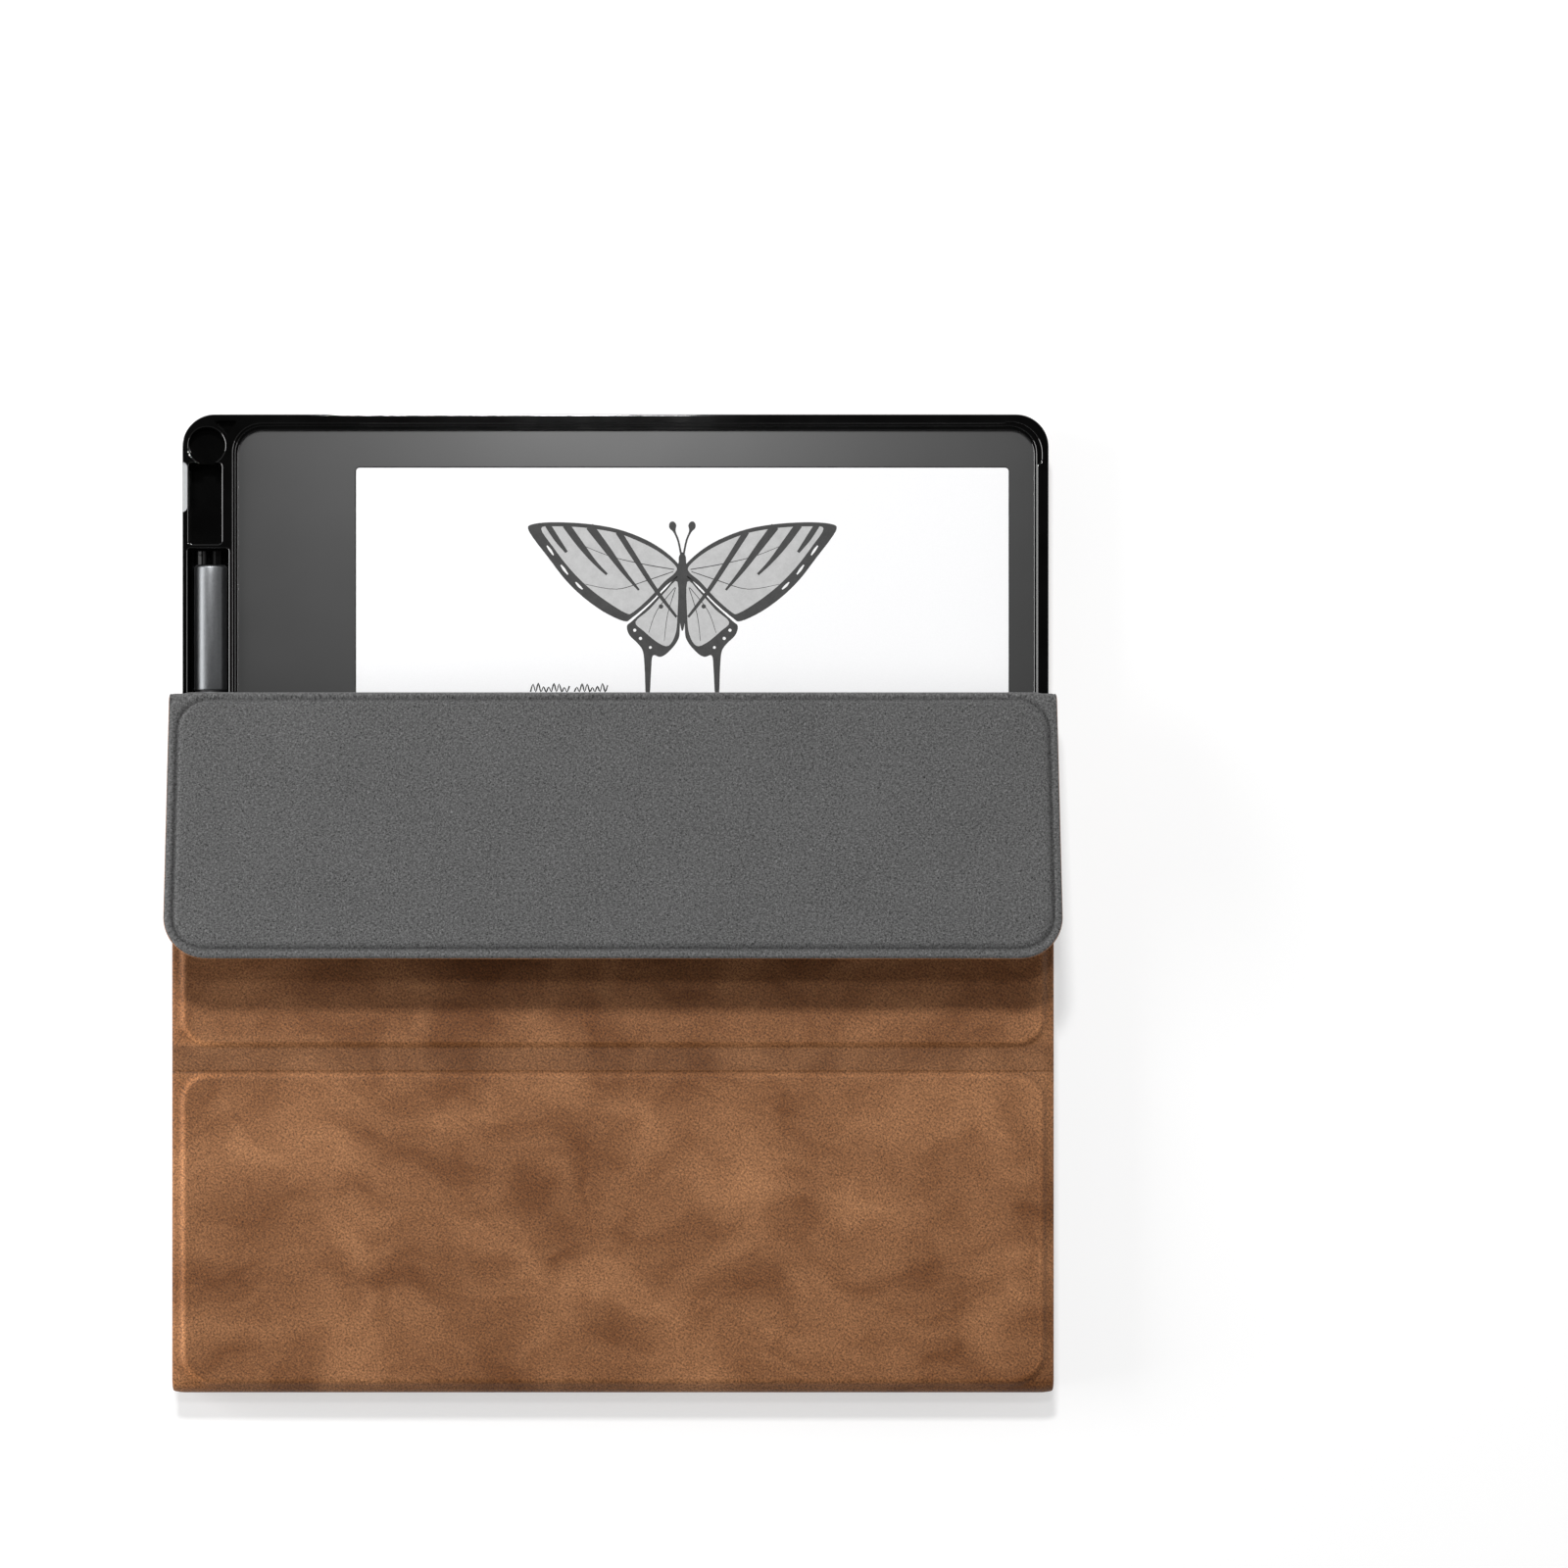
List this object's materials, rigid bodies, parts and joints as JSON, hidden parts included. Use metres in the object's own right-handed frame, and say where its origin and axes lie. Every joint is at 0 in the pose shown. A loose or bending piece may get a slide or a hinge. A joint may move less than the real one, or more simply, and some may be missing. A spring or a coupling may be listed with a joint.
{
  "type": "e-reader in folding case with stylus",
  "caption": "Large e-reader snapped into a moulded tray of a folding leather case, its cover half open over the screen, with a stylus in the tray's side trough.",
  "frame": {"origin": "centre of the overall box at the level of the table, under the back of the case", "axes": "+Z out of the screen, +Y from the spine towards the top edge of the screen, +X to the reader's right"},
  "size_m": [0.214, 0.238, 0.038],
  "materials": {
    "leather": "matte distressed brown, fine grain",
    "microfibre": "grey heather, brushed",
    "grey_board": "pressed grey fibre board",
    "black_moulding": "gloss black",
    "aluminium": "blasted, dark anodised",
    "bezel_glass": "etched satin, dark grey printed behind a clear window",
    "e_paper": "paper white, matt",
    "light_guide": "clear film",
    "circuit_board": "green solder mask",
    "steel": "bright",
    "amber_flex": "amber film",
    "battery_pouch": "dark foil pouch",
    "rubber": "matt black",
    "anodised_grey": "dark grey metallic, satin",
    "nib_plastic": "matt black",
    "magnet": "nickel plated"
  },
  "bodies": {
    "case_back": {"back_leather": "leather", "back_board": "grey_board", "tray": "black_moulding", "rear_housing": "aluminium", "mid_frame": "aluminium", "cover_glass": "bezel_glass", "display_panel": "e_paper", "light_guide": "light_guide", "digitizer_board": "circuit_board", "front_light_strip": "amber_flex", "battery": "battery_pouch", "battery_flex": "amber_flex", "main_board": "circuit_board", "shield_can": "steel", "usb_socket": "steel", "button_switch": "steel", "wifi_aerial": "amber_flex", "display_flex": "amber_flex", "housing_screw_1": "steel", "housing_screw_2": "steel", "housing_screw_3": "steel", "housing_screw_4": "steel", "rear_foot_1": "rubber", "rear_foot_2": "rubber", "rear_foot_3": "rubber", "rear_foot_4": "rubber"},
    "spine": {"spine_leather": "leather", "spine_board": "grey_board", "spine_lining": "microfibre"},
    "panel_1": {"panel_1_leather": "leather", "panel_1_board": "grey_board", "panel_1_lining": "microfibre"},
    "fold_strip_1": {"fold_strip_1_leather": "leather", "fold_strip_1_lining": "microfibre"},
    "panel_2": {"panel_2_leather": "leather", "panel_2_board": "grey_board", "panel_2_lining": "microfibre"},
    "fold_strip_2": {"fold_strip_2_leather": "leather", "fold_strip_2_lining": "microfibre"},
    "panel_3": {"panel_3_leather": "leather", "panel_3_board": "grey_board", "panel_3_lining": "microfibre", "clasp_magnet_left": "magnet", "clasp_magnet_right": "magnet", "wake_magnet": "magnet"},
    "power_button": {"power_button": "black_moulding"},
    "stylus": {"stylus_barrel": "anodised_grey", "stylus_eraser_cap": "anodised_grey", "stylus_collar": "nib_plastic", "stylus_nib": "nib_plastic", "stylus_coil": "amber_flex", "stylus_board": "circuit_board", "stylus_magnet": "magnet"}
  },
  "joints": [
    {"name": "spine_hinge", "type": "hinge", "parent": "case_back", "child": "spine", "pos_m": [0, -0.119, 0], "axis": [1, 0, 0], "range_deg": [0, 135]},
    {"name": "cover_hinge", "type": "hinge", "parent": "spine", "child": "panel_1", "pos_m": [0, -0.119, 0.0154], "axis": [1, 0, 0], "range_deg": [0, 135]},
    {"name": "fold_1_lower", "type": "hinge", "parent": "panel_1", "child": "fold_strip_1", "pos_m": [0, -0.0412, 0.01465], "axis": [1, 0, 0], "range_deg": [0, 57]},
    {"name": "fold_1_upper", "type": "hinge", "parent": "fold_strip_1", "child": "panel_2", "pos_m": [0, -0.0345, 0.01465], "axis": [1, 0, 0], "range_deg": [0, 57]},
    {"name": "fold_2_lower", "type": "hinge", "parent": "panel_2", "child": "fold_strip_2", "pos_m": [0, 0.0484, 0.01465], "axis": [-1, 0, 0], "range_deg": [-4, 83]},
    {"name": "fold_2_upper", "type": "hinge", "parent": "fold_strip_2", "child": "panel_3", "pos_m": [0, 0.04914, 0.02071], "axis": [-1, 0, 0], "range_deg": [-4, 83]},
    {"name": "power_button_press", "type": "slide", "parent": "case_back", "child": "power_button", "axis": [1, 0, 0], "range_m": [0, 0.00035], "stiffness_N_per_m": 800, "springref_m": -0.0005},
    {"name": "stylus_slide", "type": "slide", "parent": "case_back", "child": "stylus", "axis": [0, 1, 0], "range_m": [-0.0033, 0.0032]}
  ],
  "couplings": [
    {"joint": "cover_hinge", "follows": "spine_hinge", "ratio": 1},
    {"joint": "fold_1_upper", "follows": "fold_1_lower", "ratio": 1},
    {"joint": "fold_2_upper", "follows": "fold_2_lower", "ratio": 1}
  ]
}
